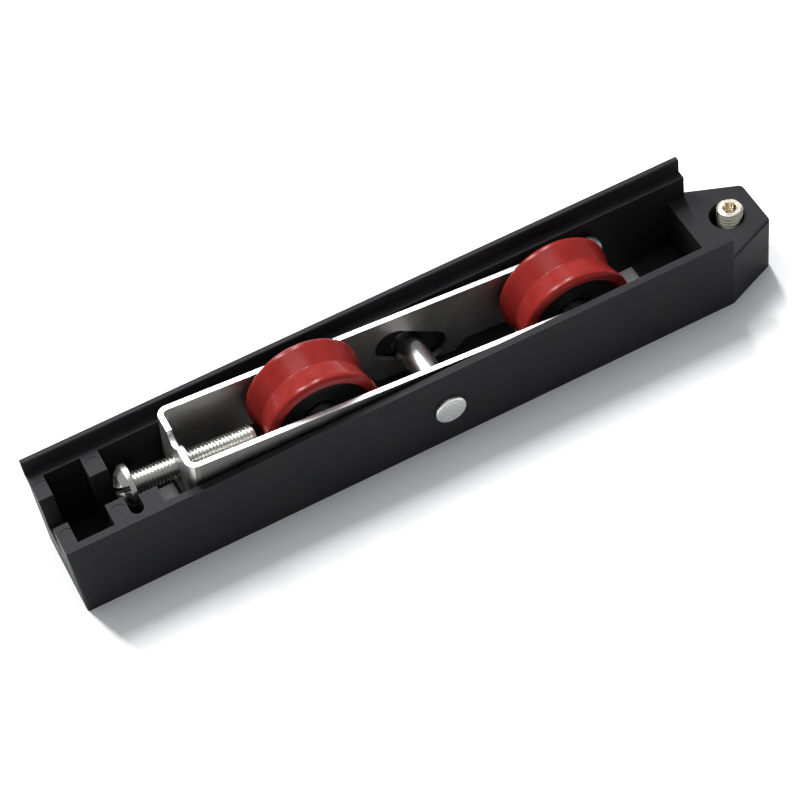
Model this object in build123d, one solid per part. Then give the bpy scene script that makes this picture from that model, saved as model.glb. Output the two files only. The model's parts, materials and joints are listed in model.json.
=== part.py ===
from build123d import *
import os
from math import cos, sin, radians, sqrt

# Sliding door roller: a moulded housing with a two-wheel carriage that rides on an
# inclined slot. Everything is drawn with X from the square end to the nose, Y from the
# plain side wall to the lipped one and Z up from the flat base, then moved to the
# part's own origin, the middle of the base of its box. Lengths are in millimetres.

# Housing
LENGTH = 172.6
BODY_WIDTH = 23.0
FLANGE_WIDTH = 25.0
WALL_TOP = 22.3
LIP_TOP = 26.0
LIP_THICKNESS = 1.5
FLANGE_THICKNESS = 2.0
WALL = 1.65
FLOOR = 1.5
CHANNEL_END = 159.8
CAVITY_START = 3.3
CAVITY_END = 155.5
CORNER_RADIUS = 0.6

# Solid nose with its set screw
NOSE_TOP = 15.9
NOSE_TIP_WIDTH = 12.2
NOSE_RADIUS = 1.4
NOSE_HOLE_X = 164.9
NOSE_HOLE_RADIUS = 4.05
NUT_X = 165.7
NUT_ACROSS_FLATS = 10.0
NUT_HEIGHT = 5.0
NUT_BASE = 1.5
SET_SCREW_RADIUS = 3.0
SET_SCREW_BASE = 2.0
SET_SCREW_TOP = 18.0
HEX_SOCKET = 3.0
HEX_SOCKET_DEPTH = 3.5

# Screw end of the housing: slotted end wall, guide blocks and head stops
NOTCH_WIDTH = 8.1
NOTCH_BASE = 12.0
GUIDE_START = 11.8
GUIDE_END = 15.9
GUIDE_GAP = 8.3
GUIDE_GAP_BASE = 5.0
STOP_START = 19.0
STOP_END = 23.2
STOP_GAP = 6.6
STOP_STEP_TOP = 17.3
STOP_STEP_Y = 6.2
STOP_LOW_TOP = 12.0
POCKET_RADIUS = 1.5
EJECTOR_RADIUS = 1.8
EJECTOR_DEPTH = 0.12

# Floor openings, each from its low X to its high X, over the whole cavity width
FLOOR_OPENINGS = ((STOP_END, 29.4), (50.0, 73.0), (113.5, 145.6))

# Centre pin, which the carriage hangs on
PIN_X = 88.4
PIN_Z = 10.9
PIN_RADIUS = 3.5
PIN_NECK_RADIUS = 3.45
PIN_HEAD_RADIUS = 3.75
PIN_HEAD = 0.9
PIN_END_GAP = 0.05
PIN_HOLE_CLEARANCE = 0.03

# Carriage bracket, in its own frame: U along its length, W up, zero at the centre pin
TILT = 5.0
CARRIAGE_Y = 11.2
STRIP = 1.2
BRACKET_WIDTH = 18.2
BRACKET_START = -59.7
BRACKET_END = 48.3
BRACKET_TOP = 11.9
BRACKET_BASE = -4.1
LOBE_BASE = -6.9
LOBE_START = -11.0
LOBE_END = 14.0
BEND_RADIUS = 2.4
LEG_END_RADIUS = 4.0
SLOT_ANGLE = 30.0
SLOT_RADIUS = 4.3
SLOT_OFFSET = 0.75
SLOT_BACK = -5.2
SLOT_AHEAD = 5.1
WEB_NOTCH_RADIUS = 2.6
WEB_NOTCH_DEPTH = 2.0
COLLAR_RADIUS = 3.8
COLLAR_LENGTH = 1.6

# Adjusting screw, M5, along the carriage's length
SCREW_W = 2.9
SCREW_RADIUS = 2.5
SCREW_CLEARANCE = 0.05
SCREW_SHOULDER = -69.8
SCREW_LENGTH = 28.5
SCREW_HEAD_RADIUS = 4.75
SCREW_HEAD = 3.7
SCREW_CROWN_RADIUS = 6.0
DRIVER_SLOT_WIDTH = 1.3
DRIVER_SLOT_DEPTH = 2.5
DRIVER_SLOT_ANGLE = -43.5

# Wheels and their ball bearings, 6 x 19 x 6
AXLES_U = {"left": -27.2, "right": 34.4}
AXLE_W = 5.55
WHEEL_RADIUS = 13.35
GROOVE_RADIUS = 12.15
WHEEL_WIDTH = 12.5
FLANGE_LAND = 0.6
FLANGE_CHAMFER = 0.6
RECESS_RADIUS = 10.7
BEARING_RADIUS = 9.5
BEARING_BORE = 3.0
BEARING_WIDTH = 6.0
SHOULDER_INNER = 4.9
SHOULDER_OUTER = 7.6
BALL_RADIUS = 1.75
BALL_CIRCLE = 6.25
BALL_COUNT = 7
BALL_GAP = 0.10
CAGE_HALF_DEPTH = 0.8
CAGE_HALF_WIDTH = 2.3
COVER_THICKNESS = 0.9
COVER_BORE = 4.3
FIT_GAP = 0.03
SPACER_RADIUS = 3.9
AXLE_END_RADIUS = 2.5

MID_Y = BODY_WIDTH / 2
CAVITY_BACK = BODY_WIDTH - WALL
INSIDE_NEAR = CARRIAGE_Y - BRACKET_WIDTH / 2 + STRIP
INSIDE_FAR = CARRIAGE_Y + BRACKET_WIDTH / 2 - STRIP
ORIGIN_SHIFT = Pos(-LENGTH / 2, -(FLANGE_WIDTH - PIN_HEAD - PIN_END_GAP) / 2, 0)
CARRIAGE_PLACE = Pos(PIN_X, 0, PIN_Z) * Rot(0, TILT, 0)


def block(x, y, z):
    """A box from three (low, high) pairs."""
    size = [high - low for low, high in (x, y, z)]
    middle = [(high + low) / 2 for low, high in (x, y, z)]
    return Pos(*middle) * Box(*size)


def rod_y(radius, y0, y1, x=0.0, z=0.0):
    """A cylinder along Y."""
    return Pos(x, (y0 + y1) / 2, z) * Rot(90, 0, 0) * Cylinder(radius, y1 - y0)


def rod_x(radius, x0, x1, y=0.0, z=0.0):
    """A cylinder along X."""
    return Pos((x0 + x1) / 2, y, z) * Rot(0, 90, 0) * Cylinder(radius, x1 - x0)


def rod_z(radius, z0, z1, x=0.0, y=0.0):
    """A cylinder along Z."""
    return Pos(x, y, (z0 + z1) / 2) * Cylinder(radius, z1 - z0)


def ring_y(outer, inner, y0, y1):
    """A tube along Y."""
    return rod_y(outer, y0, y1) - rod_y(inner, y0 - 1, y1 + 1)


def turned(points):
    """A solid of revolution about Y from (radius, y) points."""
    return revolve(make_face(Polyline(*points, close=True)), Axis.Y)


def housing():
    """The one-piece moulding: channel, flange and lip, screw end, floor and nose."""
    shell = block((0, CHANNEL_END), (0, BODY_WIDTH), (0, WALL_TOP))
    shell = fillet(shell.edges().filter_by(Axis.Z).group_by(Axis.X)[0], CORNER_RADIUS)
    half_tip = NOSE_TIP_WIDTH / 2
    nose_outline = Polyline(
        (CAVITY_END, 0),
        (CHANNEL_END, 0),
        (LENGTH, MID_Y - half_tip),
        (LENGTH, MID_Y + half_tip),
        (CHANNEL_END, BODY_WIDTH),
        (CAVITY_END, BODY_WIDTH),
        close=True,
    )
    nose = extrude(make_face(nose_outline), NOSE_TOP)
    nose = fillet(nose.edges().filter_by(Axis.Z).group_by(Axis.X)[-1], NOSE_RADIUS)
    nose = fillet(nose.edges().group_by(Axis.Z)[-1].group_by(Axis.X)[-1], CORNER_RADIUS)
    shelf = block((0, CHANNEL_END), (MID_Y, FLANGE_WIDTH), (WALL_TOP - FLANGE_THICKNESS, WALL_TOP))
    lip = block((0, CHANNEL_END), (FLANGE_WIDTH - LIP_THICKNESS, FLANGE_WIDTH), (MID_Y, LIP_TOP))
    lip = lip & block((0, LENGTH), (0, FLANGE_WIDTH), (WALL_TOP - FLANGE_THICKNESS, LIP_TOP))
    lip = fillet(lip.edges().group_by(Axis.Z)[-1].filter_by(Axis.X), LIP_THICKNESS / 4)
    cavity = block((CAVITY_START, CAVITY_END), (WALL, CAVITY_BACK), (FLOOR, LIP_TOP))
    above_nose = block((CAVITY_END, LENGTH), (-1, FLANGE_WIDTH + 1), (NOSE_TOP, LIP_TOP + 1))
    side_walls = block((CAVITY_END, CHANNEL_END), (WALL, CAVITY_BACK), (NOSE_TOP, LIP_TOP + 1))
    solid = shell + shelf - cavity - side_walls + lip
    solid += nose - above_nose
    solid += guide_blocks() + head_stops()
    notch = block(
        (-1, CAVITY_START + 0.1),
        (MID_Y - NOTCH_WIDTH / 2, MID_Y + NOTCH_WIDTH / 2),
        (NOTCH_BASE, LIP_TOP),
    )
    solid -= notch
    for low, high in FLOOR_OPENINGS:
        solid -= block((low, high), (WALL, CAVITY_BACK), (-1, FLOOR + 0.01))
    hole = PIN_RADIUS + PIN_HOLE_CLEARANCE
    solid -= rod_y(hole, -1, BODY_WIDTH + 1, PIN_X, PIN_Z)
    solid -= rod_z(NOSE_HOLE_RADIUS, NUT_BASE, LIP_TOP, NOSE_HOLE_X, MID_Y)
    solid -= hexagon(NUT_ACROSS_FLATS + 2 * FIT_GAP, -1, NUT_BASE + NUT_HEIGHT)
    for x, y in ejector_places():
        solid -= rod_z(EJECTOR_RADIUS, WALL_TOP - EJECTOR_DEPTH, WALL_TOP + 1, x, y)
    return solid


def guide_blocks():
    """Two blocks with a gap for the screwdriver, joined by a low sill."""
    across = block((GUIDE_START, GUIDE_END), (WALL / 2, BODY_WIDTH - WALL / 2), (0, WALL_TOP))
    gap = block(
        (GUIDE_START - 1, GUIDE_END + 1),
        (MID_Y - GUIDE_GAP / 2, MID_Y + GUIDE_GAP / 2),
        (GUIDE_GAP_BASE, WALL_TOP + 1),
    )
    return across - gap


def head_stops():
    """The stepped and the low post that the screw's head bears on, and the round-ended pocket."""
    tall = block((STOP_START, STOP_END), (WALL / 2, STOP_STEP_Y), (0, WALL_TOP))
    tall += block((STOP_START, STOP_END), (WALL / 2, MID_Y - STOP_GAP / 2), (0, STOP_STEP_TOP))
    low = block((STOP_START, STOP_END), (MID_Y + STOP_GAP / 2, BODY_WIDTH - WALL / 2), (0, STOP_LOW_TOP))
    pocket_x = (GUIDE_END + STOP_START) / 2
    pocket_y = WALL + POCKET_RADIUS
    end = block((GUIDE_END - 0.1, STOP_START + 0.1), (WALL / 2, pocket_y), (0, WALL_TOP))
    end -= rod_z(POCKET_RADIUS, -1, WALL_TOP + 1, pocket_x, pocket_y)
    return tall + low + end


def ejector_places():
    """Round ejector marks on the four block tops."""
    guide_x = (GUIDE_START + GUIDE_END) / 2
    inset = WALL + EJECTOR_RADIUS + 1.0
    places = [(guide_x, inset), (guide_x, BODY_WIDTH - inset)]
    places += [(EJECTOR_RADIUS + 0.2, inset), (EJECTOR_RADIUS + 0.2, BODY_WIDTH - inset)]
    return places


def hexagon(across_flats, z0, z1):
    """A hexagonal prism on the captive nut's axis, two of its flats facing along X."""
    outline = RegularPolygon(across_flats / sqrt(3), 6, rotation=30)
    return Pos(NUT_X, MID_Y, z0) * extrude(outline, z1 - z0)


def captive_nut():
    """M6 nut held in the nose from below."""
    nut = hexagon(NUT_ACROSS_FLATS, NUT_BASE, NUT_BASE + NUT_HEIGHT)
    crown = Pos(NUT_X, MID_Y, NUT_BASE + NUT_HEIGHT / 2)
    crown *= Cone(NUT_ACROSS_FLATS / 2 + 3.0, NUT_ACROSS_FLATS / 2 + 0.4, NUT_HEIGHT)
    nut = nut & crown
    bore = SET_SCREW_RADIUS + FIT_GAP
    return nut - rod_z(bore, 0, LIP_TOP, NUT_X, MID_Y)


def set_screw():
    """M6 grub screw with a hexagon socket, chamfered at both ends."""
    screw = rod_z(SET_SCREW_RADIUS, SET_SCREW_BASE, SET_SCREW_TOP, NUT_X, MID_Y)
    screw = chamfer(screw.edges().group_by(Axis.Z)[-1], 0.4)
    screw = chamfer(screw.edges().group_by(Axis.Z)[0], 1.0)
    return screw - hexagon(HEX_SOCKET, SET_SCREW_TOP - HEX_SOCKET_DEPTH, SET_SCREW_TOP + 1)


def centre_pin():
    """Riveted pin across the housing, with a low round head outside each wall."""
    near = -PIN_END_GAP
    far = BODY_WIDTH + PIN_END_GAP
    pin = rod_y(PIN_RADIUS, near, far)
    waist = ring_y(PIN_RADIUS + 1, PIN_NECK_RADIUS, WALL + 0.2, CAVITY_BACK - 0.2)
    pin -= waist
    for face, way in ((near, -1), (far, 1)):
        ends = sorted((face, face + way * PIN_HEAD))
        head = rod_y(PIN_HEAD_RADIUS, *ends)
        rim = head.edges().group_by(Axis.Y)[0 if way < 0 else -1]
        pin += fillet(rim, PIN_HEAD * 0.45)
    return Pos(PIN_X, 0, PIN_Z) * pin


def bracket():
    """Steel strip bent to a U: two legs, a web with a tapped collar and an inclined slot."""
    far_end = BRACKET_END + 1
    near_y = CARRIAGE_Y - BRACKET_WIDTH / 2
    far_y = CARRIAGE_Y + BRACKET_WIDTH / 2
    height = (LOBE_BASE - 1, BRACKET_TOP + 1)
    outside = block((BRACKET_START, far_end), (near_y, far_y), height)
    outside = fillet(outside.edges().filter_by(Axis.Z).group_by(Axis.X)[0], BEND_RADIUS)
    inside = block((BRACKET_START + STRIP, far_end + 1), (INSIDE_NEAR, INSIDE_FAR), height)
    inside = fillet(inside.edges().filter_by(Axis.Z).group_by(Axis.X)[0], BEND_RADIUS - STRIP)
    ramp = BRACKET_BASE - LOBE_BASE
    outline = Polyline(
        (BRACKET_START, BRACKET_BASE),
        (LOBE_START, BRACKET_BASE),
        (LOBE_START + ramp, LOBE_BASE),
        (LOBE_END - ramp, LOBE_BASE),
        (LOBE_END, BRACKET_BASE),
        (BRACKET_END, BRACKET_BASE),
        (BRACKET_END, BRACKET_TOP),
        (BRACKET_START, BRACKET_TOP),
        close=True,
    )
    side = Plane.XZ * make_face(outline)
    side = extrude(side, -BODY_WIDTH)
    side = fillet(side.edges().filter_by(Axis.Y).group_by(Axis.X)[-1], LEG_END_RADIUS)
    strip = (outside - inside) & side
    axis = {"y": CARRIAGE_Y, "z": SCREW_W}
    inner_face = BRACKET_START + STRIP
    strip += rod_x(COLLAR_RADIUS, inner_face - 0.1, inner_face + COLLAR_LENGTH, **axis)
    bore = SCREW_RADIUS + SCREW_CLEARANCE
    strip -= rod_x(bore, BRACKET_START - 1, inner_face + COLLAR_LENGTH + 1, **axis)
    notch_w = BRACKET_TOP + WEB_NOTCH_RADIUS - WEB_NOTCH_DEPTH
    strip -= rod_x(WEB_NOTCH_RADIUS, BRACKET_START - 1, inner_face + 1, CARRIAGE_Y, notch_w)
    for u in AXLES_U.values():
        strip -= rod_y(AXLE_END_RADIUS, 0, BODY_WIDTH, u, AXLE_W)
    return strip - pin_slot()


def pin_slot():
    """The inclined slot through both legs, falling towards the nose."""
    slot = rod_y(SLOT_RADIUS, 0, BODY_WIDTH, SLOT_BACK, SLOT_OFFSET)
    slot += rod_y(SLOT_RADIUS, 0, BODY_WIDTH, SLOT_AHEAD, SLOT_OFFSET)
    slot += block(
        (SLOT_BACK, SLOT_AHEAD),
        (0, BODY_WIDTH),
        (SLOT_OFFSET - SLOT_RADIUS, SLOT_OFFSET + SLOT_RADIUS),
    )
    return Rot(0, SLOT_ANGLE, 0) * slot


def adjusting_screw():
    """M5 pan-head screw; the domed head is towards the square end of the housing."""
    tip = SCREW_SHOULDER + SCREW_LENGTH
    face = SCREW_SHOULDER - SCREW_HEAD
    shank = rod_x(SCREW_RADIUS, SCREW_SHOULDER - 0.1, tip)
    shank = chamfer(shank.edges().group_by(Axis.X)[-1], 0.5)
    head = rod_x(SCREW_HEAD_RADIUS, face, SCREW_SHOULDER)
    head = head & Pos(face + SCREW_CROWN_RADIUS, 0, 0) * Sphere(SCREW_CROWN_RADIUS)
    slot = block(
        (face - 1, face + DRIVER_SLOT_DEPTH),
        (-SCREW_HEAD_RADIUS - 1, SCREW_HEAD_RADIUS + 1),
        (-DRIVER_SLOT_WIDTH / 2, DRIVER_SLOT_WIDTH / 2),
    )
    slot = Rot(DRIVER_SLOT_ANGLE, 0, 0) * slot
    return Pos(0, CARRIAGE_Y, SCREW_W) * (head - slot + shank)


def tyre():
    """Red V-grooved running ring, recessed on both faces, bored for its bearing."""
    half = WHEEL_WIDTH / 2
    land = half - FLANGE_CHAMFER
    seat = BEARING_WIDTH / 2
    bore = BEARING_RADIUS + FIT_GAP
    right_half = [
        (GROOVE_RADIUS, 0),
        (WHEEL_RADIUS, land - FLANGE_LAND),
        (WHEEL_RADIUS, land),
        (WHEEL_RADIUS - FLANGE_CHAMFER, half),
        (RECESS_RADIUS + 0.2, half),
        (RECESS_RADIUS, half - 0.6),
        (RECESS_RADIUS, seat),
        (bore, seat),
    ]
    left_half = [(radius, -y) for radius, y in reversed(right_half[1:])]
    return turned(right_half + left_half)


def race(radii):
    """One bearing ring with its ball groove, between an inner and an outer radius."""
    half = BEARING_WIDTH / 2
    ring = ring_y(radii[1], radii[0], -half, half)
    groove_section = Pos(BALL_CIRCLE, 0) * Circle(BALL_RADIUS + BALL_GAP)
    return ring - revolve(groove_section, Axis.Y)


def ball_places():
    """The directions of the balls round the bearing, as rotations about Y."""
    return [Rot(0, 360 * index / BALL_COUNT, 0) for index in range(BALL_COUNT)]


def balls():
    """The bearing's balls, separate solids in one node."""
    ball = Pos(BALL_CIRCLE, 0, 0) * Sphere(BALL_RADIUS)
    return Compound([place * ball for place in ball_places()])


def cage():
    """A closed ring with a round pocket for each ball."""
    ring = ring_y(
        BALL_CIRCLE + CAGE_HALF_DEPTH,
        BALL_CIRCLE - CAGE_HALF_DEPTH,
        -CAGE_HALF_WIDTH,
        CAGE_HALF_WIDTH,
    )
    pocket = Pos(BALL_CIRCLE, 0, 0) * Sphere(BALL_RADIUS + BALL_GAP)
    for place in ball_places():
        ring -= place * pocket
    return ring


def dust_cover(way):
    """Black ring that closes the tyre's recess beside the bearing."""
    start = way * (BEARING_WIDTH / 2 + FIT_GAP)
    ends = sorted((start, start + way * COVER_THICKNESS))
    return ring_y(RECESS_RADIUS - FIT_GAP, COVER_BORE, *ends)


def spacer(way):
    """Steel sleeve on the axle between the bearing and a leg."""
    bearing_face = way * BEARING_WIDTH / 2
    leg_face = (INSIDE_FAR if way > 0 else INSIDE_NEAR) - CARRIAGE_Y
    return ring_y(SPACER_RADIUS, BEARING_BORE, *sorted((bearing_face, leg_face)))


def axle():
    """Stepped axle, its ends riveted flush with the legs."""
    outer = BRACKET_WIDTH / 2
    pin = rod_y(AXLE_END_RADIUS, -outer, outer)
    pin += rod_y(BEARING_BORE, INSIDE_NEAR - CARRIAGE_Y, INSIDE_FAR - CARRIAGE_Y)
    for way in (-1, 1):
        dimple = Rot(-90 * way, 0, 0) * Cone(0, 1.4, 0.8)
        pin -= Pos(0, way * (outer - 0.35), 0) * dimple
    return pin


def wheel_pieces(side):
    """Everything on one axle, by node name, in the wheel's own frame."""
    return {
        f"{side}_tyre": tyre(),
        f"{side}_bearing_outer_ring": race((SHOULDER_OUTER, BEARING_RADIUS)),
        f"{side}_bearing_inner_ring": race((BEARING_BORE, SHOULDER_INNER)),
        f"{side}_bearing_balls": balls(),
        f"{side}_bearing_cage": cage(),
        f"{side}_dust_cover_near": dust_cover(-1),
        f"{side}_dust_cover_far": dust_cover(1),
        f"{side}_spacer_near": spacer(-1),
        f"{side}_spacer_far": spacer(1),
        f"{side}_axle": axle(),
    }


def all_pieces():
    """Every node of the roller, placed in the drawing frame."""
    pieces = {
        "housing": housing(),
        "captive_nut": captive_nut(),
        "set_screw": set_screw(),
        "centre_pin": centre_pin(),
        "carriage_bracket": CARRIAGE_PLACE * bracket(),
        "adjusting_screw": CARRIAGE_PLACE * adjusting_screw(),
    }
    for side, u in AXLES_U.items():
        place = CARRIAGE_PLACE * Pos(u, CARRIAGE_Y, AXLE_W)
        for name, shape in wheel_pieces(side).items():
            pieces[name] = place * shape
    return pieces


def report_joint_places():
    """Print the joint positions and directions in the part's own frame."""
    for side, u in AXLES_U.items():
        place = ORIGIN_SHIFT * CARRIAGE_PLACE * Pos(u, CARRIAGE_Y, AXLE_W)
        print(side, "wheel centre", place.position)
    print("pin axis", (ORIGIN_SHIFT * Pos(PIN_X, MID_Y, PIN_Z)).position)
    print("set screw axis", (ORIGIN_SHIFT * Pos(NUT_X, MID_Y, 0)).position)
    tilt = radians(TILT)
    rise = tilt + radians(SLOT_ANGLE)
    print("slide axis", (-cos(rise), 0, sin(rise)))
    print("screw axis", (cos(tilt), 0, -sin(tilt)))
    print("feed ratio", cos(radians(SLOT_ANGLE)))


os.makedirs("parts", exist_ok=True)
for node, shape in all_pieces().items():
    export_step(ORIGIN_SHIFT * shape, f"parts/{node}.step")
report_joint_places()
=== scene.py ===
import json
import math

import bmesh
import bpy
from mathutils import Matrix, Vector


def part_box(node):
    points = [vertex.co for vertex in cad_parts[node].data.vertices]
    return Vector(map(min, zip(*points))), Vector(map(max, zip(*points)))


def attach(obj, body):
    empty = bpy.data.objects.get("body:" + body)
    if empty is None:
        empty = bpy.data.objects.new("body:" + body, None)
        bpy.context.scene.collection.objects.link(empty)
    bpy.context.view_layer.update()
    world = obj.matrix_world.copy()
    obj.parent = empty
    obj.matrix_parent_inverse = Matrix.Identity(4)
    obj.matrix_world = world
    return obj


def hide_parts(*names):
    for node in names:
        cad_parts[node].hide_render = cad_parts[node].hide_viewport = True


# Sliding door roller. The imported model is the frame; the two screws and the two tyres
# are replaced with more detailed meshes, and everything gets a procedural material.
# Lengths are in metres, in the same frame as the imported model.

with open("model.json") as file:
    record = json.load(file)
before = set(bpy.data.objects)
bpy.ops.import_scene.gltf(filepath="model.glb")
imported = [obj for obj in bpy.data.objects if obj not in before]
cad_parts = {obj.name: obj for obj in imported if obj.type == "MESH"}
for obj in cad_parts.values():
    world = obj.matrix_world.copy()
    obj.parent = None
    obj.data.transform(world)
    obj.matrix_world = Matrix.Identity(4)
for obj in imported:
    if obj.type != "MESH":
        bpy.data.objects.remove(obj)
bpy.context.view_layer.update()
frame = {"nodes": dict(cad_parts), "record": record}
nodes = frame["nodes"]
joints = {joint["name"]: joint for joint in frame["record"]["behaviour"]["joints"]}
MM = 0.001
SIDES = ("left", "right")

# Camera, fitted to the object's straight edges
CAMERA_PLACE = (-0.11331, -0.31917, 0.45233)
CAMERA_AZIMUTH = 18.789
CAMERA_ELEVATION = 53.022
CAMERA_ROLL = -10.087
CAMERA_LENS = 114.256
SENSOR_WIDTH = 36.0
CLIP_START = 0.01


# ---------------------------------------------------------------- places
def frame_of(origin, x_axis):
    """A right-handed frame with its Y along the row's Y."""
    x = Vector(x_axis).normalized()
    y = Vector((0, 1, 0))
    z = x.cross(y)
    turn = Matrix((x, y, z)).transposed().to_4x4()
    return Matrix.Translation(origin) @ turn


def box_in(node, place):
    """Lowest and highest corner of a CAD node in another frame."""
    back = place.inverted()
    points = [back @ vertex.co for vertex in nodes[node].data.vertices]
    low = Vector([min(p[i] for p in points) for i in range(3)])
    high = Vector([max(p[i] for p in points) for i in range(3)])
    return low, high


CARRIAGE = frame_of(joints["carriage_rock"]["pos_m"], joints["screw_feed"]["axis"])
WHEELS = {s: frame_of(joints[f"{s}_wheel_spin"]["pos_m"], joints["screw_feed"]["axis"]) for s in SIDES}


# ---------------------------------------------------------------- materials
# Sockets of the colour mix node
MIX_FACTOR = 0
MIX_COLOUR_A = 6
MIX_COLOUR_B = 7
MIX_COLOUR_OUT = 2
# How far the softened normal agrees with the true one, on a flat and on a sharp edge
EDGE_FLAT = 0.995
EDGE_SHARP = 0.9
# The middle of the noise, stretched to run from 0 to 1
NOISE_LOW = 0.3
NOISE_HIGH = 0.7


class Shader:
    """A principled material with short calls for its nodes; coordinates are the object's own."""

    def __init__(self, name, **sockets):
        self.material = bpy.data.materials.new(name)
        self.material.use_nodes = True
        self.tree = self.material.node_tree
        self.tree.nodes.clear()
        out = self.tree.nodes.new("ShaderNodeOutputMaterial")
        self.bsdf = self.tree.nodes.new("ShaderNodeBsdfPrincipled")
        self.link(self.bsdf.outputs[0], out.inputs[0])
        for key, value in sockets.items():
            self.bsdf.inputs[key.replace("_", " ")].default_value = value
        self.coordinates = self.tree.nodes.new("ShaderNodeTexCoord").outputs["Object"]

    def link(self, source, target):
        self.tree.links.new(source, target)

    def node(self, kind, inputs=None, **settings):
        made = self.tree.nodes.new("ShaderNode" + kind)
        for key, value in settings.items():
            setattr(made, key, value)
        for key, value in (inputs or {}).items():
            if isinstance(value, bpy.types.NodeSocket):
                self.link(value, made.inputs[key])
            else:
                made.inputs[key].default_value = value
        return made

    def stretched(self, scale):
        return self.node("Mapping", {"Vector": self.coordinates, "Scale": scale}).outputs[0]

    def noise(self, size, detail=3.0, roughness=0.55, vector=None):
        """Noise between 0 and 1 with features of about this size in metres."""
        inputs = {"Vector": vector or self.coordinates, "Scale": 1 / size, "Detail": detail}
        inputs["Roughness"] = roughness
        return self.node("TexNoise", inputs).outputs[0]

    def scaled(self, value, low, high, start=0.0, end=1.0):
        inputs = {"Value": value, "From Min": low, "From Max": high, "To Min": start, "To Max": end}
        return self.node("MapRange", inputs).outputs[0]

    def mixed(self, factor, a, b):
        inputs = {MIX_FACTOR: factor, MIX_COLOUR_A: a, MIX_COLOUR_B: b}
        return self.node("Mix", inputs, data_type="RGBA").outputs[MIX_COLOUR_OUT]

    def maths(self, operation, a, b):
        return self.node("Math", {0: a, 1: b}, operation=operation).outputs[0]

    def edges(self, radius):
        """1 on convex and concave edges within this distance, 0 on flats."""
        soft = self.node("Bevel", {"Radius": radius}, samples=4).outputs[0]
        hard = self.node("NewGeometry").outputs["Normal"]
        dot = self.node("VectorMath", {0: soft, 1: hard}, operation="DOT_PRODUCT").outputs["Value"]
        return self.scaled(dot, EDGE_FLAT, EDGE_SHARP)

    def colour(self, value):
        self.link(value, self.bsdf.inputs["Base Color"])

    def rough(self, value):
        self.link(value, self.bsdf.inputs["Roughness"])

    def bump(self, height, distance, strength=1.0, below=None):
        inputs = {"Height": height, "Distance": distance, "Strength": strength}
        if below is not None:
            inputs["Normal"] = below
        return self.node("Bump", inputs).outputs[0]

    def normal(self, value):
        self.link(value, self.bsdf.inputs["Normal"])


def rgb(r, g, b):
    return (r, g, b, 1.0)


def black_nylon():
    s = Shader("black_nylon", Specular_IOR_Level=0.06)
    grain = s.noise(0.35 * MM, 2.0)
    cloud = s.noise(9 * MM, 4.0)
    scuff = s.scaled(s.noise(1.6 * MM, 5.0, 0.7, s.stretched((0.25, 1, 1))), 0.60, 0.75)
    patches = s.scaled(cloud, NOISE_LOW, NOISE_HIGH)
    base = s.mixed(patches, rgb(0.0175, 0.0175, 0.0192), rgb(0.0230, 0.0226, 0.0240))
    base = s.mixed(s.maths("MULTIPLY", scuff, 0.25), base, rgb(0.032, 0.032, 0.032))
    # painted highlight: convex and concave edges are drawn lighter
    base = s.mixed(s.maths("MULTIPLY", s.edges(0.25 * MM), 0.5), base, rgb(0.05, 0.05, 0.05))
    s.colour(base)
    satin = s.scaled(cloud, NOISE_LOW, NOISE_HIGH, 0.42, 0.54)
    s.rough(s.maths("ADD", satin, s.maths("MULTIPLY", scuff, 0.06)))
    s.normal(s.bump(grain, 0.012 * MM, 0.6, s.bump(cloud, 0.03 * MM, 0.4)))
    return s.material


STEEL_DARK = 0.82
ROUGH_BELOW = 0.06
ROUGH_ABOVE = 0.08


def steel(name, colour, rough, streak=(1, 1, 1), tint=None, lines=0.004):
    """Metal with fine lines along the streak's small axis and clouds of the tint."""
    s = Shader(name, Metallic=1.0)
    brushed = s.noise(0.4 * MM, 4.0, 0.6, s.stretched(streak))
    cloud = s.noise(5 * MM, 3.0)
    dark = [c * STEEL_DARK for c in colour]
    base = s.mixed(s.scaled(brushed, NOISE_LOW, NOISE_HIGH), rgb(*dark), rgb(*colour))
    base = s.mixed(s.scaled(cloud, 0.45, 0.75, 0.0, 0.35), base, rgb(*(tint or colour)))
    s.colour(base)
    s.rough(s.scaled(s.maths("ADD", brushed, cloud), 0.6, 1.4, rough - ROUGH_BELOW, rough + ROUGH_ABOVE))
    s.normal(s.bump(brushed, lines * MM, 0.8))
    return s.material


def red_nylon():
    s = Shader("red_nylon", Specular_IOR_Level=0.14)
    cloud = s.noise(4 * MM, 4.0)
    grain = s.noise(0.25 * MM, 2.0)
    patches = s.scaled(cloud, NOISE_LOW, NOISE_HIGH)
    base = s.mixed(patches, rgb(0.185, 0.013, 0.011), rgb(0.230, 0.018, 0.015))
    # painted highlight: convex and concave edges are drawn a lighter red
    base = s.mixed(s.maths("MULTIPLY", s.edges(0.2 * MM), 0.25), base, rgb(0.34, 0.030, 0.02))
    s.colour(base)
    s.rough(s.scaled(cloud, NOISE_LOW, NOISE_HIGH, 0.20, 0.28))
    s.normal(s.bump(grain, 0.006 * MM, 0.6, s.bump(cloud, 0.05 * MM, 0.5)))
    return s.material


def black_cover():
    s = Shader("black_cover", Specular_IOR_Level=0.3)
    grain = s.noise(0.3 * MM, 3.0)
    patches = s.scaled(grain, NOISE_LOW, NOISE_HIGH)
    s.colour(s.mixed(patches, rgb(0.018, 0.018, 0.018), rgb(0.028, 0.028, 0.028)))
    s.rough(s.scaled(grain, NOISE_LOW, NOISE_HIGH, 0.45, 0.6))
    s.normal(s.bump(grain, 0.01 * MM, 0.6))
    return s.material


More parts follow.
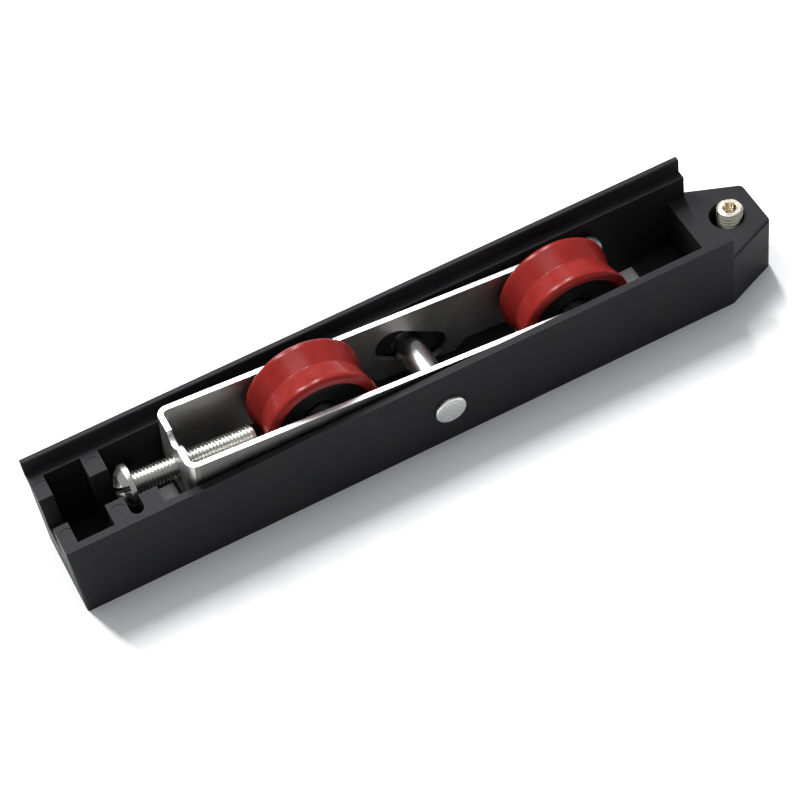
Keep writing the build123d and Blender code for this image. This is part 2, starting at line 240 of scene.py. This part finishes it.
LOOKS = {
    "black_nylon": black_nylon(),
    "zinc_strip": steel("zinc_strip", (0.62, 0.62, 0.61), 0.40, (0.12, 1, 1), (0.68, 0.67, 0.62)),
    # painted highlight: the bracket's upward cut edges are drawn brighter than the strip
    "zinc_edge_painted_highlight": steel("zinc_edge_painted_highlight", (0.86, 0.86, 0.86), 0.42, (1, 1, 1), (0.8, 0.8, 0.78)),
    # painted shade: the outer sides of the bracket's legs are drawn darker than the strip
    "zinc_outside_painted_shade": steel("zinc_outside_painted_shade", (0.16, 0.16, 0.155), 0.42, (0.12, 1, 1), (0.22, 0.22, 0.2)),
    "zinc_screw": steel("zinc_screw", (0.72, 0.72, 0.68), 0.27, (1, 1, 1), (0.76, 0.74, 0.66), 0.002),
    "rivet_steel": steel("rivet_steel", (0.80, 0.80, 0.79), 0.24, (1, 0.2, 1), lines=0.002),
    "nickel_screw": steel("nickel_screw", (0.70, 0.65, 0.55), 0.22, (1, 1, 1), (0.76, 0.69, 0.55), 0.002),
    "red_nylon": red_nylon(),
    "black_cover": black_cover(),
    "bearing_steel": steel("bearing_steel", (0.55, 0.56, 0.58), 0.22),
    "ball_steel": steel("ball_steel", (0.72, 0.73, 0.75), 0.10, lines=0.001),
}


# ---------------------------------------------------------------- mesh tools
def finish_mesh(name, mesh, slot, body, replaced, sharp):
    """Link the mesh as the piece that stands for a CAD node, on its body and in its material."""
    piece = bpy.data.objects.new(name, mesh)
    bpy.context.scene.collection.objects.link(piece)
    shade(mesh, sharp)
    mesh.materials.clear()
    mesh.materials.append(LOOKS[slot])
    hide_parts(replaced)
    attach(piece, body)


def shade(mesh, sharp):
    """Smooth shading with edges over this angle kept sharp."""
    work = bmesh.new()
    work.from_mesh(mesh)
    limit = math.radians(sharp)
    for face in work.faces:
        face.smooth = True
    for edge in work.edges:
        edge.smooth = len(edge.link_faces) == 2 and edge.calc_face_angle(0.0) < limit
    work.to_mesh(mesh)
    work.free()


def mesh_from(name, points, faces, place):
    """A mesh of points given in a place's own frame, its faces turned outwards."""
    mesh = bpy.data.meshes.new(name)
    mesh.from_pydata([place @ Vector(p) for p in points], [], faces)
    mesh.validate()
    work = bmesh.new()
    work.from_mesh(mesh)
    bmesh.ops.recalc_face_normals(work, faces=work.faces)
    work.to_mesh(mesh)
    work.free()
    return mesh


def rounded(corners, steps=5):
    """A closed profile of (radius, along, fillet) corners with every fillet drawn as an arc."""
    line = []
    for index, (x, y, fillet) in enumerate(corners):
        here = Vector((x, y))
        before = Vector(corners[index - 1][:2]) - here
        after = Vector(corners[(index + 1) % len(corners)][:2]) - here
        if fillet <= 0:
            line.append(here)
            continue
        half = before.angle(after) / 2
        reach = min(fillet / math.tan(half), before.length * 0.49, after.length * 0.49)
        radius = reach * math.tan(half)
        centre = here + (before.normalized() + after.normalized()).normalized() * (radius / math.sin(half))
        start = here + before.normalized() * reach - centre
        end = here + after.normalized() * reach - centre
        sweep = start.angle_signed(end)
        for step in range(steps + 1):
            turned = start.copy()
            turned.rotate(Matrix.Rotation(-sweep * step / steps, 2))
            line.append(centre + turned)
    return [(p.x, p.y) for p in line]


def lathe(name, profile, place, segments=128):
    """A closed (radius, along) profile turned about the place's Y axis."""
    count = len(profile)
    points, faces = [], []
    for step in range(segments):
        angle = 2 * math.pi * step / segments
        for radius, along in profile:
            points.append((radius * math.cos(angle), along, radius * math.sin(angle)))
    for step in range(segments):
        ahead = (step + 1) % segments
        for index in range(count):
            beside = (index + 1) % count
            a, b = step * count, ahead * count
            faces.append((a + index, a + beside, b + beside, b + index))
    return mesh_from(name, points, faces, place)


def capped_lathe(name, profile, place, segments=96):
    """An open (radius, along) profile from axis to axis, turned about the place's Y axis."""
    points, faces = [(0.0, profile[0][1], 0.0)], []
    inner = profile[1:-1]
    count = len(inner)
    for step in range(segments):
        angle = 2 * math.pi * step / segments
        for radius, along in inner:
            points.append((radius * math.cos(angle), along, radius * math.sin(angle)))
    points.append((0.0, profile[-1][1], 0.0))
    last = len(points) - 1
    for step in range(segments):
        ahead = (step + 1) % segments
        a, b = 1 + step * count, 1 + ahead * count
        faces.append((0, b, a))
        for index in range(count - 1):
            faces.append((a + index, b + index, b + index + 1, a + index + 1))
        faces.append((a + count - 1, b + count - 1, last))
    return mesh_from(name, points, faces, place)


# A thread's depth as a share of its pitch, and its profile as shares of the pitch and the depth
THREAD_DEPTH = 0.6
THREAD_PROFILE = (
    (0.0, 0.0),
    (0.10, 0.04),
    (0.44, 0.93),
    (0.50, 1.0),
    (0.58, 1.0),
    (0.64, 0.93),
    (0.98, 0.04),
)
WELD_REACH = 1e-7
END_PLANE = 1e-9


def threaded_rod(name, place, length, outer, pitch, taper_start, taper_end, segments=64):
    """A rod along the place's X: one helical sheet of thread, its ends clamped to flat faces."""
    depth = THREAD_DEPTH * pitch
    turns = math.ceil(length / pitch) + 2
    points, faces, rows = [], [], []
    for turn in range(-1, turns):
        for share, height in THREAD_PROFILE:
            row = []
            for step in range(segments):
                along = (turn + share + step / segments) * pitch
                radius = outer - depth + depth * height
                held = min(max(along, 0.0), length)
                limit = outer - max(0.0, taper_start - held) - max(0.0, taper_end - (length - held))
                radius = min(radius, limit)
                angle = 2 * math.pi * step / segments
                row.append(len(points))
                points.append((held, radius * math.cos(angle), radius * math.sin(angle)))
            rows.append(row)
    count = len(THREAD_PROFILE)
    for index in range(len(rows) - 1):
        for step in range(segments - 1):
            here, ahead = rows[index], rows[index + 1]
            faces.append((here[step], here[step + 1], ahead[step + 1], ahead[step]))
        if index + count + 1 < len(rows):
            seam, joined = rows[index], rows[index + 1]
            over, above = rows[index + count], rows[index + count + 1]
            faces.append((seam[-1], over[0], above[0], joined[-1]))
    return closed_rod(name, points, faces, length, place)


def closed_rod(name, points, faces, length, place):
    """Weld a clamped helical sheet, drop what lies flat in its end planes, and cap it."""
    work = bmesh.new()
    vertices = [work.verts.new(p) for p in points]
    for face in faces:
        work.faces.new([vertices[i] for i in face])
    bmesh.ops.remove_doubles(work, verts=work.verts, dist=WELD_REACH)
    flat = []
    for face in work.faces:
        along = [v.co.x for v in face.verts]
        if max(along) < END_PLANE or min(along) > length - END_PLANE:
            flat.append(face)
    bmesh.ops.delete(work, geom=flat, context="FACES")
    loose = [v for v in work.verts if not v.link_faces]
    bmesh.ops.delete(work, geom=loose, context="VERTS")
    rims = [e for e in work.edges if len(e.link_faces) == 1]
    bmesh.ops.holes_fill(work, edges=rims, sides=0)
    bmesh.ops.recalc_face_normals(work, faces=work.faces)
    work.transform(place)
    mesh = bpy.data.meshes.new(name)
    work.to_mesh(mesh)
    work.free()
    return mesh


def prism(name, outline, low, high, place):
    """An outline of (y, z) points drawn out along the place's X."""
    count = len(outline)
    points = [(low, y, z) for y, z in outline] + [(high, y, z) for y, z in outline]
    faces = [tuple(range(count)), tuple(range(count, 2 * count))]
    for index in range(count):
        beside = (index + 1) % count
        faces.append((index, beside, count + beside, count + index))
    return mesh_from(name, points, faces, place)


def combine(mesh, other, operation):
    """The exact boolean of two meshes."""
    a = bpy.data.objects.new("combine_a", mesh)
    b = bpy.data.objects.new("combine_b", other)
    for item in (a, b):
        bpy.context.scene.collection.objects.link(item)
    modifier = a.modifiers.new("boolean", "BOOLEAN")
    modifier.operation = operation
    modifier.object = b
    modifier.solver = "EXACT"
    bpy.context.view_layer.update()
    made = bpy.data.meshes.new_from_object(a.evaluated_get(bpy.context.evaluated_depsgraph_get()))
    for item in (a, b):
        bpy.data.objects.remove(item)
    return made


# ---------------------------------------------------------------- adjusting screw
SCREW_PITCH = 0.8 * MM
HEAD_HEIGHT = 3.7 * MM
SLOT_WIDTH = 1.2 * MM
SLOT_DEPTH = 2.4 * MM
SLOT_TURN = math.radians(-43.5)
CROSS_WIDTH = 1.3 * MM
CROSS_REACH = 2.2 * MM
CROSS_DEPTH = 1.3 * SLOT_DEPTH
SHANK_RADIUS = 2.5 * MM
SHANK_TAPER = 0.7 * MM
SHANK_ROOT = 0.2 * MM
CUT_OVER = 1 * MM
THREAD_SHARP = 50


def adjusting_screw():
    """The M5 screw with its thread, domed head, slot and short cross."""
    low, high = box_in("adjusting_screw", CARRIAGE)
    head_radius = (high.y - low.y) / 2
    axis = CARRIAGE @ Matrix.Translation((low.x, (low.y + high.y) / 2, (low.z + high.z) / 2))
    shank = axis @ Matrix.Translation((HEAD_HEIGHT - SHANK_ROOT, 0, 0))
    length = high.x - low.x - HEAD_HEIGHT + SHANK_ROOT
    rod = threaded_rod("screw_shank", shank, length, SHANK_RADIUS, SCREW_PITCH, 0.0, SHANK_TAPER)
    r, h = head_radius, HEAD_HEIGHT
    # (radius, distance from the crown, fillet) down the domed head to its flat underside
    corners = [
        (0.0, 0.0, 0),
        (0.33 * r, 0.02 * h, 1.2 * MM),
        (0.72 * r, 0.24 * h, 1.6 * MM),
        (r, 0.64 * h, 0.6 * MM),
        (r * 0.985, h, 0.25 * MM),
        (0.0, h, 0),
    ]
    along_x = axis @ Matrix.Rotation(-math.pi / 2, 4, "Z")
    head = capped_lathe("screw_head", rounded(corners, 6), along_x)
    mesh = combine(rod, head, "UNION")
    slot_turn = axis @ Matrix.Rotation(SLOT_TURN, 4, "X")
    half, reach = SLOT_WIDTH / 2, head_radius * 1.2
    slot = [(-reach, -half), (reach, -half), (reach, half), (-reach, half)]
    mesh = combine(mesh, prism("cut", slot, -CUT_OVER, SLOT_DEPTH, slot_turn), "DIFFERENCE")
    c, w = CROSS_REACH, CROSS_WIDTH / 2
    cross = [(-w, -c), (w, -c), (w, c), (-w, c)]
    mesh = combine(mesh, prism("cut", cross, -CUT_OVER, CROSS_DEPTH, slot_turn), "DIFFERENCE")
    body = node = "adjusting_screw"
    finish_mesh("adjusting_screw_threaded", mesh, "zinc_screw", body, node, THREAD_SHARP)


# ---------------------------------------------------------------- set screw
SET_PITCH = 1.0 * MM
SOCKET_FLATS = 3.0 * MM
SOCKET_DEPTH = 3.5 * MM
POINT_TAPER = 0.9 * MM
RIM_TAPER = 0.45 * MM


def hexagon(across_flats):
    """The six corners of a hexagon, as (y, z) points."""
    radius = across_flats / math.sqrt(3)
    turns = [math.radians(60 * corner) for corner in range(6)]
    return [(radius * math.cos(turn), radius * math.sin(turn)) for turn in turns]


def set_screw():
    """The M6 grub screw with its thread and hexagon socket."""
    low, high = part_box("set_screw")
    middle = (low + high) / 2
    upright = Matrix.Translation((middle.x, middle.y, low.z)) @ Matrix.Rotation(-math.pi / 2, 4, "Y")
    length, radius = high.z - low.z, (high.x - low.x) / 2
    rod = threaded_rod("set", upright, length, radius, SET_PITCH, POINT_TAPER, RIM_TAPER)
    cut = prism("cut", hexagon(SOCKET_FLATS), length - SOCKET_DEPTH, length + CUT_OVER, upright)
    mesh = combine(rod, cut, "DIFFERENCE")
    finish_mesh("set_screw_threaded", mesh, "nickel_screw", "set_screw", "set_screw", THREAD_SHARP)


# ---------------------------------------------------------------- wheels
GROOVE_DEPTH = 1.2 * MM
GROOVE_FILLET = 0.45 * MM
LAND_WIDTH = 0.9 * MM
LAND_INSET = 0.5 * MM
LAND_FILLET = 0.6 * MM
RIM_CHAMFER = 0.6 * MM
RIM_FILLET = 0.5 * MM
FACE_FILLET = 0.4 * MM
RECESS_RADIUS = 10.7 * MM
RECESS_FLARE = 0.7 * MM
RECESS_LEAD = 0.8 * MM
SEAT = 3.0 * MM
SEAT_FILLET = 0.15 * MM
BORE_RADIUS = 9.53 * MM
BORE_FILLET = 0.1 * MM
TYRE_SEGMENTS = 160
TYRE_SHARP = 60


def tyre(side):
    """A grooved tyre with moulded radii, recessed on both faces for its dust covers."""
    low, high = box_in(f"{side}_tyre", WHEELS[side])
    half, flange = (high.y - low.y) / 2, (high.x - low.x) / 2
    corners = [
        (flange - GROOVE_DEPTH, 0.0, GROOVE_FILLET),
        (flange, half - LAND_INSET - LAND_WIDTH, LAND_FILLET),
        (flange, half - RIM_CHAMFER, RIM_FILLET),
        (flange - RIM_CHAMFER, half, FACE_FILLET),
        (RECESS_RADIUS + RECESS_FLARE, half, FACE_FILLET),
        (RECESS_RADIUS, half - RECESS_LEAD, FACE_FILLET),
        (RECESS_RADIUS, SEAT, SEAT_FILLET),
        (BORE_RADIUS, SEAT, BORE_FILLET),
    ]
    mirrored = [(r, -y, f) for r, y, f in reversed(corners[1:])]
    mesh = lathe(f"{side}_tyre_moulded", rounded(corners + mirrored), WHEELS[side], TYRE_SEGMENTS)
    finish_mesh(f"{side}_tyre_moulded", mesh, "red_nylon", f"{side}_wheel", f"{side}_tyre", TYRE_SHARP)


# ---------------------------------------------------------------- CAD nodes that stay
WELD_DISTANCE = 1e-6
BEVEL_SEGMENTS = 2
BEVEL_ANGLE = math.radians(40)
HOUSING_BEVEL = 0.18 * MM
SMALL_BEVEL = 0.10 * MM
# Material slots of the bracket: strip, cut edges that face up with a painted highlight, outer sides of the
# legs with painted shade
PAINTED_HIGHLIGHT_SLOT = 1
PAINTED_SHADE_SLOT = 2
FACES_UP = 0.7
OUTSIDE_REACH = 0.2 * MM


def dress(name, slot, bevel=0.0):
    """Give a CAD node its material, and soften its edges with modifiers."""
    node = nodes[name]
    node.data.materials.clear()
    node.data.materials.append(LOOKS[slot])
    weld = node.modifiers.new("weld", "WELD")
    weld.merge_threshold = WELD_DISTANCE
    if bevel:
        soft = node.modifiers.new("soft_edges", "BEVEL")
        soft.width = bevel
        soft.segments = BEVEL_SEGMENTS
        soft.limit_method = "ANGLE"
        soft.angle_limit = BEVEL_ANGLE
        soft.harden_normals = False
    return node


def dress_bracket():
    """The bracket's strip, with a painted highlight on its upward cut edges and painted shade on the outer
    sides of its legs.
    """
    bracket = dress("carriage_bracket", "zinc_strip", SMALL_BEVEL)
    bracket.data.materials.append(LOOKS["zinc_edge_painted_highlight"])
    bracket.data.materials.append(LOOKS["zinc_outside_painted_shade"])
    up = CARRIAGE.to_3x3() @ Vector((0, 0, 1))
    low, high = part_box("carriage_bracket")
    for face in bracket.data.polygons:
        outside = min(face.center.y - low.y, high.y - face.center.y) < OUTSIDE_REACH
        # faces that point up get the painted highlight, the outer sides of the legs get the painted shade
        if face.normal.dot(up) > FACES_UP:
            face.material_index = PAINTED_HIGHLIGHT_SLOT
        elif outside:
            face.material_index = PAINTED_SHADE_SLOT


def dress_all():
    """Every CAD node that stays in view gets its material."""
    dress("housing", "black_nylon", HOUSING_BEVEL)
    dress("captive_nut", "zinc_screw")
    dress("centre_pin", "rivet_steel")
    dress_bracket()
    for side in SIDES:
        for part in ("bearing_outer_ring", "bearing_inner_ring", "bearing_cage"):
            dress(f"{side}_{part}", "bearing_steel")
        dress(f"{side}_bearing_balls", "ball_steel")
        for way in ("near", "far"):
            dress(f"{side}_dust_cover_{way}", "black_cover", SMALL_BEVEL)
            dress(f"{side}_spacer_{way}", "rivet_steel", SMALL_BEVEL)
        dress(f"{side}_axle", "rivet_steel")


# ---------------------------------------------------------------- stage
FLOOR_REACH = 3.0
FLOOR_GRAIN = 0.02
SKY_COLOUR = rgb(0.95, 0.97, 1.0)
SKY_STRENGTH = 0.38
# Area lights that look at the origin: place, width and length in metres, and watts
LIGHTS = {
    "key_left": ((-0.32, 0.72, 1.00), (0.12, 0.7), 15.0),
    "key_right": ((0.20, 0.72, 1.00), (0.12, 0.7), 12.0),
    "overhead": ((0.0, 0.35, 1.5), (0.9, 0.9), 5.2),
}


def area_light(name, place, size, watts):
    data = bpy.data.lights.new(name, "AREA")
    data.shape = "RECTANGLE"
    data.size, data.size_y = size
    data.energy = watts
    light = bpy.data.objects.new(name, data)
    bpy.context.scene.collection.objects.link(light)
    light.location = place
    light.rotation_euler = (-Vector(place)).to_track_quat("-Z", "Y").to_euler()


def stage():
    """A plain pale floor, an even sky and three area lights."""
    mesh = bpy.data.meshes.new("floor")
    far = FLOOR_REACH
    corners = [(-far, -far, 0), (far, -far, 0), (far, far, 0), (-far, far, 0)]
    mesh.from_pydata(corners, [], [(0, 1, 2, 3)])
    floor = bpy.data.objects.new("floor", mesh)
    bpy.context.scene.collection.objects.link(floor)
    s = Shader("floor_paper", Specular_IOR_Level=0.2)
    grain = s.noise(FLOOR_GRAIN, 3.0)
    paper = s.scaled(grain, NOISE_LOW, NOISE_HIGH)
    s.colour(s.mixed(paper, rgb(0.90, 0.90, 0.905), rgb(0.93, 0.93, 0.93)))
    s.rough(s.scaled(grain, NOISE_LOW, NOISE_HIGH, 0.7, 0.8))
    mesh.materials.append(s.material)

    world = bpy.data.worlds.new("studio")
    world.use_nodes = True
    background = world.node_tree.nodes["Background"]
    background.inputs["Color"].default_value = SKY_COLOUR
    background.inputs["Strength"].default_value = SKY_STRENGTH
    bpy.context.scene.world = world
    for name, settings in LIGHTS.items():
        area_light(name, *settings)


def camera():
    azimuth, elevation, roll = (math.radians(a) for a in (CAMERA_AZIMUTH, CAMERA_ELEVATION, CAMERA_ROLL))
    level = math.cos(elevation)
    ahead = Vector((math.sin(azimuth) * level, math.cos(azimuth) * level, -math.sin(elevation)))
    right = ahead.cross(Vector((0, 0, 1))).normalized()
    up = right.cross(ahead)
    turned = right * math.cos(roll) + up * math.sin(roll)
    up = up * math.cos(roll) - right * math.sin(roll)
    data = bpy.data.cameras.new("camera")
    data.lens = CAMERA_LENS
    data.sensor_width = SENSOR_WIDTH
    data.clip_start = CLIP_START
    made = bpy.data.objects.new("camera", data)
    bpy.context.scene.collection.objects.link(made)
    axes = Matrix((turned, up, -ahead)).transposed().to_4x4()
    made.matrix_world = Matrix.Translation(CAMERA_PLACE) @ axes
    bpy.context.scene.camera = made


dress_all()
adjusting_screw()
set_screw()
for side in SIDES:
    tyre(side)
stage()
camera()
bpy.context.scene.view_settings.view_transform = "Standard"
